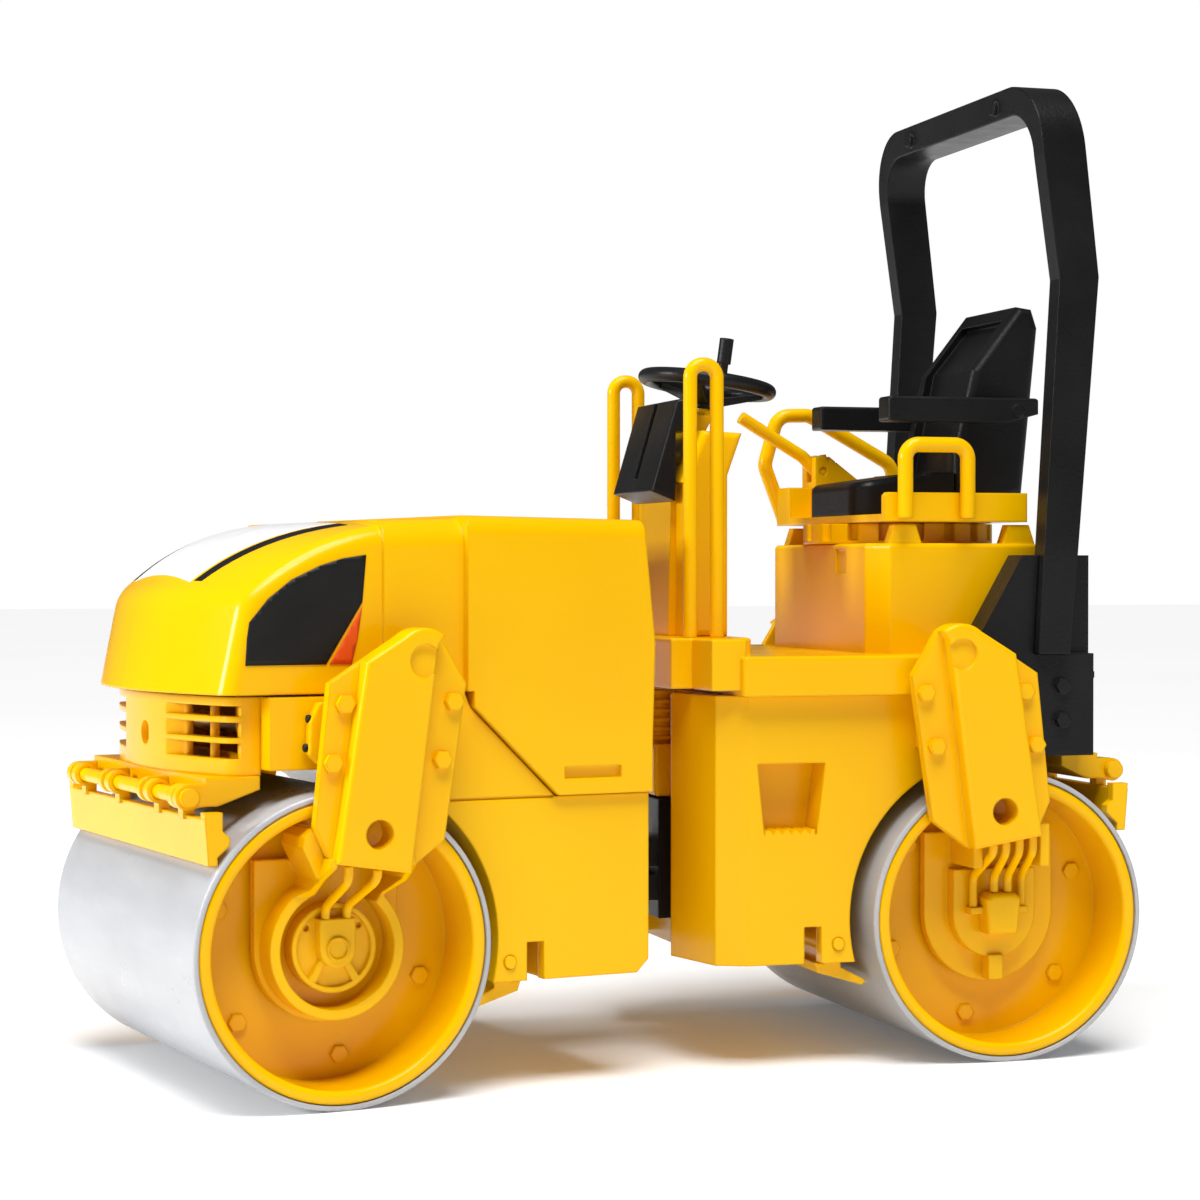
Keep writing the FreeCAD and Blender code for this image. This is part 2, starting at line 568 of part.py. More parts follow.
cut(fascia, "end", "grille_x - 0.9", "grille_x + 1", ("2", "60.5", "round", "2"))
bars = []
for side in ("1", "-1"):
    for x, y in (("grille_x - 3.7", "13.6"), ("grille_x - 6.1", "20")):
        bars.append(rod("grille_bar", "0.8", "10.4", (x, "%s * %s" % (side, y),
                        "grille_low_z + grille_wall"), "z"))
keep("front_grille", fuse("grille_all", [fascia] + bars), "front")

# ---------------------------------------------------------------- hood
nose_turn = at(spun("nose_turn", [
    ("0", "nose_low_z"), ("cheek_round", "nose_low_z"), ("cheek_round - 2.7", "cheek_z", "7"),
    ("cheek_round - 4.7", "cheek_z + 3.7", "40"), ("brow_x - nose_axis_x - 1", "brow_z"),
    ("0", "brow_z")]), ("nose_axis_x", "0", "0"))
nose_block = block("nose_block", "brow_x", "nose_axis_x + cheek_round + 2", "-hood_half",
                   "hood_half", "nose_low_z", "brow_z + 4")
nose = common("nose", nose_turn, nose_block)
doc.recompute()
shoulders = [i + 1 for i, edge in enumerate(nose.Shape.Edges)
             if abs(abs(edge.CenterOfMass.y) - number("hood_half")) < 0.01
             and edge.BoundBox.YLength < 0.01 and edge.BoundBox.ZLength > 0.3
             and edge.CenterOfMass.x > number("brow_x + 1")]
soft_nose = doc.addObject("Part::Fillet", "soft_nose")
soft_nose.Base = nose
soft_nose.Edges = [(i, 3.2, 3.2) for i in shoulders]

band = new_body("band")
pad(band, "side", "-band_half", "band_half", [
    ("box_front_x", "nose_low_z"), ("brow_x", "nose_low_z"), ("brow_x", "brow_z + 0.25"),
    ("box_front_x", "hood_top_z + 0.1")])
round_edges(band, "4.5", lambda e: abs(e.CenterOfMass.z - number("hood_top_z")) < 1
            and e.BoundBox.YLength < 0.01)

rear_box = new_body("rear_box")
pad(rear_box, "side", "-box_half", "box_half", [
    ("rear_wall_x", "seam_z + 0.2"), ("rear_wall_x + 18", "seam_z + 0.2"),
    ("box_front_x - 1.2", "shelf_z - 2.2"), ("box_front_x - 1.2", "nose_low_z"),
    ("box_front_x", "nose_low_z"), ("box_front_x", "hood_top_z + 0.5"),
    ("rear_wall_x + 1.4", "hood_top_z"), ("rear_wall_x + 1.4", "hood_top_z - 3"),
    ("rear_wall_x - 0.5", "shelf_z + 8"), ("rear_wall_x", "shelf_z - 8")])
round_edges(rear_box, "3", lambda e: e.CenterOfMass.z > number("hood_top_z - 2")
            and e.BoundBox.YLength < 0.01 and e.BoundBox.XLength > 10)

shell = fuse("hood_outer", [soft_nose, band, rear_box])
core = new_body("hood_core")
pad(core, "side", "-(hood_half - hood_wall)", "hood_half - hood_wall", [
    ("rear_wall_x + 1.9", "seam_z - 2"), ("rear_wall_x + 19", "seam_z - 2"),
    ("box_front_x + 0.6", "shelf_z - 4"), ("brow_x", "shelf_z - 4"),
    ("brow_x", "brow_z - hood_wall"), ("box_front_x", "hood_top_z - hood_wall - 0.2"),
    ("rear_wall_x + 4", "hood_top_z - hood_wall - 0.2"),
    ("rear_wall_x + 1.9", "hood_top_z - 6")])
nose_core = at(spun("nose_core", [
    ("0", "nose_low_z - 4"), ("cheek_round - 0.9", "nose_low_z - 4"),
    ("cheek_round - 4.3", "cheek_z - 0.4", "5.4"), ("cheek_round - 5.8", "cheek_z + 2.5", "38.4"),
    ("brow_x - nose_axis_x - 1", "brow_z - hood_wall"), ("0", "brow_z - hood_wall")]),
    ("nose_axis_x", "0", "0"))
nose_room = block("nose_room", "brow_x - 4", "nose_axis_x + cheek_round + 2",
                  "-(hood_half - hood_wall)", "hood_half - hood_wall", "nose_low_z - 4", "brow_z")
hollow = fuse("hood_hollow", [core, common("nose_hollow", nose_core, nose_room)])
shell_cut = less("hood_shell", shell, hollow)
grips = [block("grip_slot", "slot_x - 5.4", "slot_x + 5.4", low, high, "slot_z - 1",
               "slot_z + 1") for low, high in (("box_half - 0.9", "box_half + 1"),
                                               ("-box_half - 1", "-box_half + 0.9"))]
slotted = less("slotted_hood", shell_cut, fuse("grip_slots", grips))
ears = []
for low, high in (("hood_ear", "hood_ear + 3"), ("-hood_ear - 3", "-hood_ear")):
    ear = new_body("hood_ear_plate")
    pad(ear, "side", low, high, [
        ("hood_pivot_x - 2.6", "hood_pivot_z", "2.6"), ("hood_pivot_x + 2.6", "hood_pivot_z"),
        ("hood_pivot_x + 2.6", "brow_z - 7.8"), ("hood_pivot_x - 2.6", "brow_z - 5")])
    cut(ear, "side", low, high, ("hood_pivot_x", "hood_pivot_z", "round", "hood_pin + fit_gap"))
    ears.append(ear)
keep("hood", fuse("hood_all", [slotted] + ears), "front")
hinge_rod = rod("hood_pin_rod", "hood_pin", "2 * hood_ear + 12.8",
                ("hood_pivot_x", "-hood_ear - 6.4", "hood_pivot_z"), "y")
keep("hood_hinge_pin", group("hood_pin_all", [hinge_rod]), "front")

engine = new_body("engine")
pad(engine, "side", "-17", "17", [
    ("17", "seam_z"), ("24", "seam_z"), ("38", "63.6"), ("41.5", "65.2"), ("41.5", "78"),
    ("38", "84"), ("20", "86"), ("17", "82")])
for x in ("22", "27", "32", "37"):
    cut(engine, "side", "15.5", "17", box_outline(x, "66", x + " + 2.2", "80"))
    cut(engine, "side", "-17", "-15.5", box_outline(x, "66", x + " + 2.2", "80"))
pad(engine, "side", "-6", "6", box_outline("22", "85", "34", "91"))
keep("engine_block", engine, "front")

# ---------------------------------------------------------------- scrapers
LUGS = ("-rod_half", "-12", "10", "rod_half - 2")


def make_scraper(half, turned, back_x):
    """A carrier bolted under the grille or bumper, its rod, and the swinging blade."""
    carrier = new_body(half + "_carrier")
    pad(carrier, "side", "-rod_half", "rod_half", [
        (back_x, "grille_low_z - 2.2"), ("rod_x - 5", "rod_z - 1.6"), ("rod_x - 3", "rod_z - 1.6"),
        ("rod_x - 3", "grille_low_z"), (back_x, "grille_low_z")])
    for low in LUGS:
        ear = [("rod_x - 3", "rod_z - 1.6"), ("rod_x - 2", "rod_z - 1.66"),
               ("rod_x", "rod_z - lug_round", "lug_round"), ("rod_x", "rod_z + lug_round"),
               ("rod_x - 3", "rod_z + lug_round")]
        pad(carrier, "side", low, low + " + 2", ear)
    cut(carrier, "side", "-rod_half", "rod_half", ("rod_x", "rod_z", "round", "rod_round"))
    keep(half + "_scraper_carrier", carrier, turned)

    heads = [rod(half + "_pin", "rod_round", "2 * rod_half", ("rod_x", "-rod_half", "rod_z"), "y"),
             rod(half + "_pin_head", "1.6", "1.3", ("rod_x", "rod_half", "rod_z"), "y"),
             rod(half + "_pin_tail", "1.6", "1.3", ("rod_x", "-rod_half - 1.3", "rod_z"), "y")]
    keep(half + "_scraper_rod", fuse(half + "_rod_all", heads), turned)

    blade = new_body(half + "_blade")
    pad(blade, "side", "-blade_half", "blade_half", [
        ("rod_x - 2.6", "blade_low_z"), ("rod_x - 1", "blade_low_z"), ("rod_x - 0.4", "blade_top_z"),
        ("rod_x - 2", "blade_top_z")])
    for low in ("-rod_half + 2.6", "-8.4", "13.6", "rod_half - 5"):
        clip = ("rod_x", "rod_z", "round", "rod_round + 0.8")
        pad(blade, "side", low, low + " + 2.6", clip)
        stem = box_outline("rod_x - 1.9", "blade_top_z - 0.6", "rod_x + 0.1", "rod_z - 1.4")
        pad(blade, "side", low, low + " + 2.6", stem)
    cut(blade, "side", "-blade_half", "blade_half",
        ("rod_x", "rod_z", "round", "rod_round + fit_gap"))
    for side in ("", "-"):
        ends = [("blade_half - 2.2", "blade_half"), ("-blade_half", "-blade_half + 2.2")]
        low, high = ends[0] if side == "" else ends[1]
        cheek = [("rod_x - 4.6", "blade_low_z + 3.2"), ("rod_x - 1", "blade_low_z"),
                 ("rod_x - 0.4", "blade_top_z + 1"), ("rod_x - 3.4", "blade_top_z + 1"),
                 ("rod_x - 3.4", "blade_top_z - 2"), ("rod_x - 4.6", "blade_top_z - 3")]
        pad(blade, "side", low, high, cheek)
    keep(half + "_scraper_blade", blade, turned)


make_scraper("front", "front", "chassis_front_x + 0.4")
make_scraper("rear", "rear_turned", "chassis_front_x + 2.4")


def make_flap(half, turned):
    """The inner scraper: a flap behind the drum, moulded with its pin across the body."""
    flap = new_body(half + "_flap_body")
    pad(flap, "side", "-body_half - 0.4", "body_half + 0.4",
        ("flap_pin_x", "flap_pin_z", "round", "flap_pin"))
    width = "body_half - 3"
    low = "-(%s)" % width
    pad(flap, "side", low, width, ("flap_pin_x", "flap_pin_z", "round", "2.2"))
    pad(flap, "side", low, width, [
        ("flap_pin_x - 3.4", "flap_pin_z - 3.6"), ("flap_pin_x - 2.8", "flap_pin_z - 5.4"),
        ("flap_pin_x + 5.6", "flap_pin_z - 7.9"), ("flap_pin_x + 6.6", "flap_pin_z - 7.2"),
        ("flap_pin_x + 1.6", "flap_pin_z - 4.6"), ("flap_pin_x + 1.6", "flap_pin_z - 1.2"),
        ("flap_pin_x - 1.6", "flap_pin_z - 1.2"), ("flap_pin_x - 1.6", "flap_pin_z - 3.8")])
    keep(half + "_inner_scraper", flap, turned)


make_flap("front", "front")
make_flap("rear", "rear_turned")

# ---------------------------------------------------------------- steering joint
front_yoke = new_body("front_yoke_body")
for low, high in (("22", "27"), ("38.4", "43.4")):
    pad(front_yoke, "top", low, high, [
        ("rear_wall_x", "yoke_half"), ("0", "yoke_round", "yoke_round"), ("0", "-yoke_round"),
        ("rear_wall_x", "-yoke_half")])
pad(front_yoke, "end", "rear_wall_x - 0.9", "rear_wall_x",
    box_outline("-yoke_half", "22", "yoke_half", "43.4"))
cut(front_yoke, "top", "22", "43.4", ("0", "0", "round", "pin_round"))
keep("front_yoke", front_yoke, "front")

rear_yoke = new_body("rear_yoke_body")
for low, high in (("27.3", "32"), ("33.6", "38.1")):
    pad(rear_yoke, "top", low, high, [
        ("-14", "-yoke_half"), ("0", "-yoke_round", "yoke_round"), ("0", "yoke_round"),
        ("-14", "yoke_half")])
pad(rear_yoke, "end", "-14", "-9.4", box_outline("-yoke_half", "24", "yoke_half", "46"))
cut(rear_yoke, "top", "24", "46", ("0", "0", "round", "pin_round + fit_gap"))
keep("rear_yoke", rear_yoke, "rear")
bracket = new_body("bracket")
pad(bracket, "side", "-7", "7", [("-14", "46.4"), ("-9", "46.4"), ("-9", "56"), ("-14", "56")])
round_edges(bracket, "0.6", lambda e: at_level(e, "x", "-9"))
ribs = [rod("hose_core", "2.1", "9.9", ("-11.2", "2.6", "56"), "z")]
ribs += [rod("hose_rib", "2.6", "0.8", ("-11.2", "2.6", "%.1f" % (56.6 + 1.7 * n)), "z")
         for n in range(6)]
keep("steering_hose", fuse("ribbed_hose", ribs), "rear")
pin_parts = [rod("king_pin", "pin_round", "24.4", ("0", "0", "21"), "z"),
             rod("king_pin_foot", "5.2", "1.2", ("0", "0", "20.6"), "z"),
             rod("king_pin_cap", "4.4", "1.6", ("0", "0", "43.6"), "z")]
keep("articulation_pin", fuse("king_pin_all", pin_parts), "front")

# ---------------------------------------------------------------- rear body
rear = new_body("rear_body")
pad(rear, "top", "floor_z", "deck_z", [
    ("-rear_end_x", "-panel_inner + 0.3"), ("-rear_cut_x", "-panel_inner + 0.3"),
    ("-rear_cut_x", "-body_half"), ("-rear_front_x", "-body_half"), ("-12", "-32.6"),
    ("-8.5", "-18"), ("-14", "-17"), ("-14", "17"), ("-8.5", "18"), ("-12", "32.6"),
    ("-rear_front_x", "body_half"), ("-rear_cut_x", "body_half"),
    ("-rear_cut_x", "panel_inner - 0.3"), ("-rear_end_x", "panel_inner - 0.3")])
cut(rear, "side", "-body_half", "body_half", ("-axle_x", "axle_z", "round", "arch_round"))
cut(rear, "side", "-body_half", "body_half",
    box_outline("-rear_end_x", "floor_z", "-axle_x + 28", "axle_z"))
cut(rear, "side", "-body_half", "body_half",
    box_outline("-rear_end_x", "axle_z", "-axle_x", "bay_floor_z - 2"))
step = [("-rear_front_x - 1.7", "54"), ("-rear_front_x - 3", "41.4"),
        ("-rear_front_x - 12.8", "41.4"), ("-rear_front_x - 14.4", "54")]
both_sides(cut, rear, "side", "body_half - 6", "body_half", step)
cut(rear, "side", "-(%s)" % flap_inner, flap_inner,
    box_outline("-axle_x + 20", "floor_z", "-flap_pin_x + 7", "floor_z + 7.5"))
cut(rear, "side", "-body_half", "body_half",
    box_outline("-flap_pin_x + 3.2", "floor_z", "-flap_pin_x + 6.4", "floor_z + 6.5"))
cut(rear, "side", "-body_half", "body_half",
    ("-flap_pin_x", "flap_pin_z", "round", "flap_pin + fit_gap"))
treads = []
for side in ("body_half - 5", "-body_half"):
    tread = new_body("tread")
    teeth = [("-rear_front_x - 13.2", "39.9"), ("-rear_front_x - 2.6", "39.9")]
    for count in range(6):
        left = 3.0 + 1.7 * count
        teeth += [("-rear_front_x - %.2f" % left, "41.5"),
                  ("-rear_front_x - %.2f" % (left + 0.5), "42.3"),
                  ("-rear_front_x - %.2f" % (left + 1.1), "42.3")]
    teeth.append(("-rear_front_x - 13.2", "41.5"))
    pad(tread, "side", side, side + " + 5", teeth[::-1])
    treads.append(tread)
tread_set = common("tread_trim", fuse("tread_pair", treads), block(
    "tread_limit", "-rear_front_x - 12.5", "-rear_front_x - 3.1", "-body_half", "body_half",
    "41.4", "43"))
keep("rear_chassis", fuse("rear_body_all", [rear, tread_set, bracket]), "rear")

seat_foot = [
    ("-tank_back_x", "-tank_half"), ("-tank_front_x - 3.2", "-tank_half"),
    ("-tank_front_x", "-tank_half + 4.4"), ("-tank_front_x", "tank_half - 4.4"),
    ("-tank_front_x - 3.2", "tank_half"), ("-tank_back_x", "tank_half")]
deck = new_body("deck_body")
inner = "panel_inner - 0.3"
pad(deck, "top", "deck_z", "deck_top_z", [
    ("-rear_end_x", "-(%s)" % inner), ("-rear_cut_x", "-(%s)" % inner),
    ("-rear_cut_x", "-deck_half"), ("-deck_front_x", "-deck_half"),
    ("-deck_front_x", "deck_half"), ("-rear_cut_x", "deck_half"), ("-rear_cut_x", inner),
    ("-rear_end_x", inner)])
round_edges(deck, "0.8", lambda e: spans(e, "z") and abs(e.CenterOfMass.y) > 37)
round_edges(deck, "0.6", lambda e: at_level(e, "z", "deck_top_z")
            and abs(e.CenterOfMass.y) > 36 and e.BoundBox.XLength > 10)
cut(deck, "top", "deck_top_z - 0.5", "deck_top_z", seat_foot)
pad(deck, "top", "deck_z + 1", "block_top_z", [
    ("-21", "-25.8"), ("-16.4", "-25.8"), ("-16.4", "-36.5"), ("-10", "-36.5"),
    ("-10", "-25.8"), ("-6", "-25.8"), ("-6", "25.8"), ("-10", "25.8"), ("-10", "36.5"),
    ("-16.4", "36.5"), ("-16.4", "25.8"), ("-21", "25.8")])
round_edges(deck, "0.5", lambda e: at_level(e, "z", "block_top_z"))
keep("deck", deck, "rear")

# ---------------------------------------------------------------- console and steering wheel
console = new_body("console")
pad(console, "side", "-console_half", "console_half", [
    ("-console_back_x", "block_top_z"), ("-console_front_x", "block_top_z"),
    ("-console_front_x - 0.6", "103"), ("-console_front_x - 5", "113.6"),
    ("-console_back_x - 2.8", "113.2"), ("-console_back_x", "105.4")])
round_edges(console, "1.2", lambda e: at_level(e, "y", "console_half")
            or at_level(e, "y", "-console_half"))
for side in ("8.6", "-console_half"):
    cut(console, "side", side, side + " + console_half - 8.6",
        box_outline("-console_front_x - 1.6", "block_top_z", "-console_front_x", "104"))
pad(console, "side", "-3.2", "3.2", [
    ("-19.6", "113"), ("-15.8", "113"), ("-17.2", "117.4"), ("-21.6", "116.8")])

panel = new_body("instrument")
pad(panel, "side", "-12.3", "12.3", [
    ("-6.7", "102.5"), ("-11.6", "119.2"), ("-13.4", "119.6"), ("-15.5", "113.8"),
    ("-11.5", "103.2"), ("-11.3", "100.7")])
round_edges(panel, "0.6", lambda e: at_level(e, "y", "12.3") or at_level(e, "y", "-12.3"))
cut(panel, "side", "-1.1", "1.1", [
    ("-6", "105"), ("-11.4", "121"), ("-13", "121"), ("-8.3", "105")])
box_body = less("instrument_trim", panel, block("console_room", "-30", "-11.3",
                "-console_half", "console_half", "90", "113.7"))
keep("instrument_box", box_body, "rear")

loops = [bent_tube("loop", "rail_round", "2.4", [
    ("-loop_front_x", side, "block_top_z"), ("-loop_front_x", side, "loop_top_z - 1.25"),
    ("-loop_back_x", side, "loop_top_z - 1.25"), ("-loop_back_x", side, "block_top_z")])
    for side in ("loop_y", "-loop_y")]
keep("console_handrails", group("loop_pair", loops), "rear")


def make_wheel():
    """A dished wheel: ring, hub and three sloping spokes, bored for the column's stub."""
    ring = doc.addObject("Part::Torus", "wheel_ring_body")
    ring.setExpression("Radius1", bound("wheel_ring"))
    ring.setExpression("Radius2", bound("wheel_grip"))
    solids = [ring, rod("wheel_hub", "2.6", "2.6", ("0", "0", "-4.6"), "z")]
    for count in range(3):
        spoke = new_body("spoke")
        pad(spoke, "side", "-1.1", "1.1", [
            ("1.8", "-4.2"), ("wheel_ring", "-0.9"), ("wheel_ring", "0.2"), ("1.8", "-2.4")])
        spoke.Placement.Rotation = FreeCAD.Rotation(UP, 60 + 120 * count)
        solids.append(spoke)
    knob_at = ("1.2", "wheel_ring", "0")
    solids.append(rod("knob_post", "0.9", "3.4", knob_at, "z"))
    knob_at = ("1.2", "wheel_ring", "wheel_grip + 1.6")
    solids.append(rod("knob_grip", "1.3", "4.6", knob_at, "z"))
    bore = rod("wheel_bore", "stub_round + fit_gap", "2", ("0", "0", "-5"), "z")
    return less("wheel_all", fuse("wheel_solids", solids), bore)


def tilt(feature):
    """Stand a piece drawn on the steering axis in its tilted place on the console."""
    feature.Placement.Rotation = FreeCAD.Rotation(FreeCAD.Vector(0, 1, 0), -number("wheel_tilt"))
    feature.setExpression("Placement.Base.x", bound("-wheel_x"))
    feature.setExpression("Placement.Base.z", bound("wheel_z"))
    return feature


shaft = [rod("steering_tube", "2", "2.2", ("0", "0", "-7"), "z"),
         rod("steering_stub", "stub_round", "3.8", ("0", "0", "-7"), "z")]
column = fuse("console_all", [console, tilt(fuse("shaft_body", shaft))])
keep("console_column", column, "rear")
keep("steering_wheel", group("wheel_held", [tilt(make_wheel())]), "rear")

# ---------------------------------------------------------------- seat base and turntable
tank = new_body("tank")
pad(tank, "top", "deck_top_z - 0.5", "tank_top_z", seat_foot)
round_edges(tank, "0.8", lambda e: at_level(e, "z", "tank_top_z"))
for x in ("-tank_front_x - 6.4", "-tank_back_x + 3.4"):
    foot = [(x + " - 3.2", "tank_top_z - 0.2"), (x + " + 3.2", "tank_top_z - 0.2"),
            (x + " + 2", "turn_top_z - 0.4"), (x + " - 2", "turn_top_z - 0.4")]
    both_sides(pad, tank, "side", "tank_half - 3.4", "tank_half - 0.6", foot)
both_sides(cut, tank, "end", "-tank_front_x - 0.4", "-tank_front_x",
           box_outline("9", "87.6", "14", "92"))
keep("seat_base", tank, "rear")

turntable = new_body("turntable")
centre = ("-turn_x", "0", "round", "turn_round")
pad(turntable, "top", "tank_top_z", "turn_top_z", centre)
tooth = new_body("tooth_gap")
pad(tooth, "top", "tank_top_z + 0.6", "turn_top_z",
    box_outline("turn_round - 1.6", "-1.1", "turn_round + 2", "1.1"))
gaps = []
for count in range(18):
    gap = doc.addObject("App::Link", "tooth_gap_link")
    gap.LinkedObject = tooth
    turned = FreeCAD.Rotation(UP, 20 * count)
    gap.LinkPlacement = FreeCAD.Placement(FreeCAD.Vector(-number("turn_x"), 0, 0), turned)
    gaps.append(gap)
ring_body = less("turntable_ring", turntable, fuse("tooth_gaps", gaps))
pin_hole = rod("turn_pin_hole", "2.5", "4", ("-turn_x", "0", "tank_top_z"), "z")
keep("seat_turntable", less("turntable_bored", ring_body, pin_hole), "rear")
turn_pin = [rod("turn_pin_post", "2.5", "tray_top_z - tank_top_z + 0.1",
                ("-turn_x", "0", "tank_top_z"), "z"),
            rod("turn_pin_head", "4", "0.8", ("-turn_x", "0", "tray_top_z + 0.1"), "z")]
keep("seat_pivot_pin", fuse("turn_pin", turn_pin), "rear")

tray = new_body("tray")
pad(tray, "top", "tray_low_z", "tray_top_z",
    box_outline("-tray_back_x", "-tank_half", "-tray_front_x", "tank_half"))
wall_outline = [("-tray_back_x", "tray_top_z"), ("-tray_front_x", "tray_top_z"),
                ("-tray_front_x", "tray_wall_z - 0.6"), ("-tray_front_x - 0.6", "tray_wall_z"),
                ("-tray_back_x + 0.6", "tray_wall_z"), ("-tray_back_x", "tray_wall_z - 0.6")]
both_sides(pad, tray, "side", "tank_half - 1.5", "tank_half", wall_outline)
pad(tray, "top", "tray_top_z", "tray_wall_z",
    box_outline("-tray_back_x", "-tank_half", "-tray_back_x + 1.5", "tank_half"))
pad(tray, "top", "tray_top_z", "104.4",
    box_outline("-tray_front_x - 4.6", "-tank_half", "-tray_front_x", "-tank_half + 7.4"))
cut(tray, "top", "tray_low_z", "tray_top_z", ("-turn_x", "0", "round", "2.5 + fit_gap"))
keep("seat_platform", tray, "rear")

pod = new_body("pod")
pod_low, pod_high = "-tank_half + 1.6", "-tank_half + 9"
pad(pod, "side", pod_low, pod_high, [
    ("-60", "tray_top_z"), ("-tray_front_x - 4.8", "tray_top_z"),
    ("-tray_front_x - 4.8", "110.4"), ("-tray_front_x - 7", "111"), ("-60", "105.6")])
for count in range(5):
    x, z = -52.6 - 1.6 * count, 111.2 - 0.62 * count
    cut(pod, "side", pod_low, pod_high, [
        ("%.2f" % x, "%.2f" % z), ("%.2f" % (x - 0.7), "%.2f" % (z - 1.6)),
        ("%.2f" % (x - 1.0), "%.2f" % (z + 0.2))])
slot_for_lever = box_outline("-tray_front_x - 9", "105.6", "-tray_front_x - 4.8", "112")
cut(pod, "side", "-tank_half + 4", "-tank_half + 6.6", slot_for_lever)
cut(pod, "side", pod_low, pod_high, ("-tray_front_x - 6.4", "107.6", "round", "0.7 + fit_gap"))
keep("control_pod", pod, "rear")

lever = bent_tube("lever_tube", "rail_round", "3", [
    ("-tray_front_x - 6.4", "-tank_half + 5.3", "107.6"),
    ("-tray_front_x - 3.4", "-tank_half + 5.3", "110.6"),
    ("-36.2", "-tank_half + 5.3", "118.2")])
trunnion = rod("lever_trunnion", "0.7", "7", ("-tray_front_x - 6.4", "-tank_half + 1.8",
               "107.6"), "y")
keep("travel_lever", fuse("lever_all", [lever, trunnion]), "rear")

grab = bent_tube("grab_tube", "rail_round + 0.15", "2.6", [
    ("-49.3", "tank_half + 1.4", "tray_low_z + 0.6"), ("-49.3", "tank_half + 1.4", "110.8"),
    ("-61.5", "tank_half + 1.4", "110.8"), ("-61.5", "tank_half + 1.4", "tray_low_z + 0.6")])
keep("seat_handrail_left", grab, "rear")
far_rail = bent_tube("far_rail_tube", "rail_round + 0.15", "3.4", [
    ("-48", "-tank_half - 1.4", "tray_low_z + 0.6"), ("-43.6", "-tank_half - 1.4", "109"),
    ("-46.4", "-tank_half - 1.4", "119"), ("-53", "-tank_half - 1.4", "119.2"),
    ("-71", "-tank_half - 1.4", "109.4"), ("-72", "-tank_half - 1.4", "tray_low_z + 0.6")])
keep("seat_handrail_right", far_rail, "rear")

# ---------------------------------------------------------------- seat
pad_body = new_body("pad_body")
pad(pad_body, "top", "tray_top_z", "106.4",
    box_outline("-pad_back_x", "-pad_half", "-pad_front_x", "pad_half"))
round_edges(pad_body, "4", lambda e: spans(e, "z") and e.CenterOfMass.x > -50)
cut(pad_body, "side", "-pad_half", "pad_half", [
    ("-pad_front_x", "104.4"), ("-pad_front_x", "108"), ("-pad_back_x + 6", "108"),
    ("-pad_back_x + 6", "106.3")])
round_edges(pad_body, "1.6", lambda e: e.CenterOfMass.z > 103.5 and e.CenterOfMass.x > -62
            and abs(e.CenterOfMass.y) > 8 and e.BoundBox.ZLength < 2.5)
cut(pad_body, "top", "tray_top_z", "tray_top_z + 1.4", ("-turn_x", "0", "round", "4.6"))
keep("seat_cushion", pad_body, "rear")

back = new_body("seat_back_body")
pad(back, "side", "-pad_half", "pad_half", [
    ("-66.2", "tray_top_z"), ("-80.4", "tray_top_z + 3.9"), ("-83.6", "134"),
    ("-82.4", "137.6"), ("-79.4", "138"), ("-70", "126"), ("-66.2", "110")][::-1])
round_edges(back, "1.8", lambda e: at_level(e, "y", "pad_half") or at_level(e, "y", "-pad_half"))
cut(back, "side", "-pad_half", "pad_half", box_outline("-90", "tray_top_z", "-72.3", "102.6"))
cut(back, "side", "-pad_half + 3.6", "pad_half - 3.6", [
    ("-66", "107"), ("-67.8", "107"), ("-71.6", "126"), ("-79", "135"), ("-76", "136"),
    ("-66", "126")])
for side, name in ((1, "left"), (-1, "right")):
    rest = new_body("rest_" + name)
    low, high = ("rest_inner", "rest_outer") if side > 0 else ("-rest_outer", "-rest_inner")
    pad(rest, "side", low, high, [
        ("-80", "rest_high_z"), ("-80", "rest_low_z + 1.6"), ("-arm_pivot_x + 2", "rest_low_z"),
        ("-rest_front_x", "rest_low_z"), ("-rest_front_x", "rest_high_z")])
    cut(rest, "side", low, high, ("-arm_pivot_x", "arm_pivot_z", "round", "1.2 + fit_gap"))
    round_edges(rest, "0.6", lambda e: at_level(e, "x", "-rest_front_x")
                or at_level(e, "z", "rest_high_z"))
    keep("armrest_" + name, rest, "rear")
pegs = rod("rest_peg", "1.2", "2 * rest_outer", ("-arm_pivot_x", "-rest_outer", "arm_pivot_z"),
           "y")
keep("seat_back", fuse("seat_back_all", [back, pegs]), "rear")

# ---------------------------------------------------------------- roll-over hoop, rear panel
hoop = new_body("hoop_front_view")
pad(hoop, "end", "-90", "-60", [
    ("-hoop_outer", "hoop_low_z"), ("-hoop_inner", "hoop_low_z"), ("-hoop_inner", "hoop_bar_z"),
    ("hoop_inner", "hoop_bar_z"), ("hoop_inner", "hoop_low_z"), ("hoop_outer", "hoop_low_z"),
    ("hoop_outer", "hoop_top_z"), ("-hoop_outer", "hoop_top_z")])
round_edges(hoop, "12", lambda e: spans(e, "x") and e.CenterOfMass.z > number("hoop_top_z - 0.1"))
round_edges(hoop, "8", lambda e: spans(e, "x") and abs(
    e.CenterOfMass.z - number("hoop_bar_z")) < 0.1)
lean = new_body("hoop_side_view")
pad(lean, "side", "-45", "45", [
    ("-71.4", "hoop_low_z"), ("-75.4", "hoop_kink_z"), ("-72.2", "163"), ("-70.6", "180"),
    ("-78.6", "180"), ("-80.6", "163"), ("-83.1", "hoop_kink_z + 0.5"), ("-77.6", "hoop_low_z")])
caps = [rod("hoop_cap", "1.5", "3", ("-73.4", y, "174"), "x") for y in ("19.9", "-19.9")]
keep("rollover_hoop", fuse("hoop_capped", [common("hoop_all", hoop, lean)] + caps), "rear")

